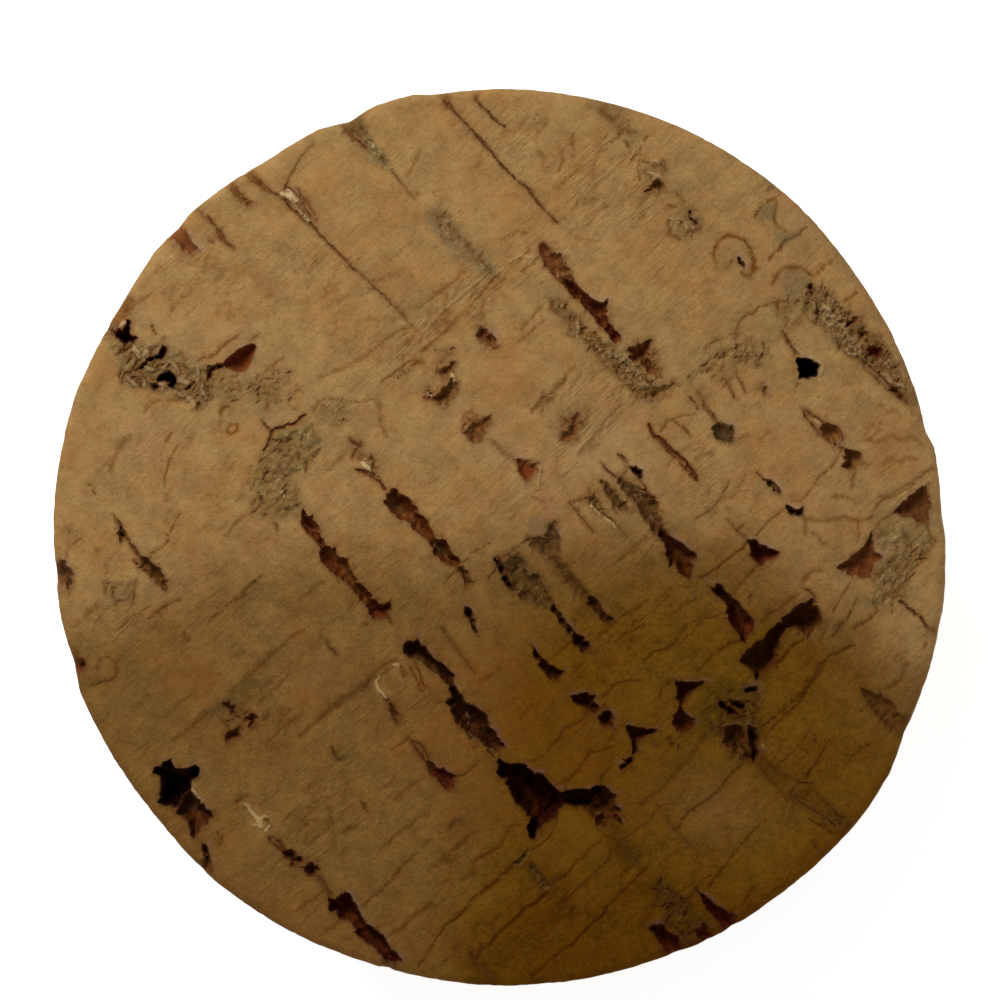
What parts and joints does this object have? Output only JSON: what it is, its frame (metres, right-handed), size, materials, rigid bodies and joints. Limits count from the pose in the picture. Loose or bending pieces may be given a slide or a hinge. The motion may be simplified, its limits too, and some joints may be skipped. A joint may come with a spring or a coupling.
{
  "type": "tapered cork bottle stopper",
  "caption": "Tapered stopper of natural cork bark that plugs the neck of a jug or bottle, with growth rings and open lenticels on its wide end.",
  "frame": {"origin": "middle of the narrow end, on the surface that the stopper stands on", "axes": "+Z along the stopper's axis, from the narrow end to the wide end; +X and +Y across the wide end, with the growth rings at 40 degrees from +X"},
  "size_m": [0.0508, 0.0508, 0.038],
  "materials": {
    "cork": "matt cut cork bark, fine grained, with dark brown pores"
  },
  "bodies": {
    "root": {"cork_stopper": "cork"}
  },
  "joints": []
}
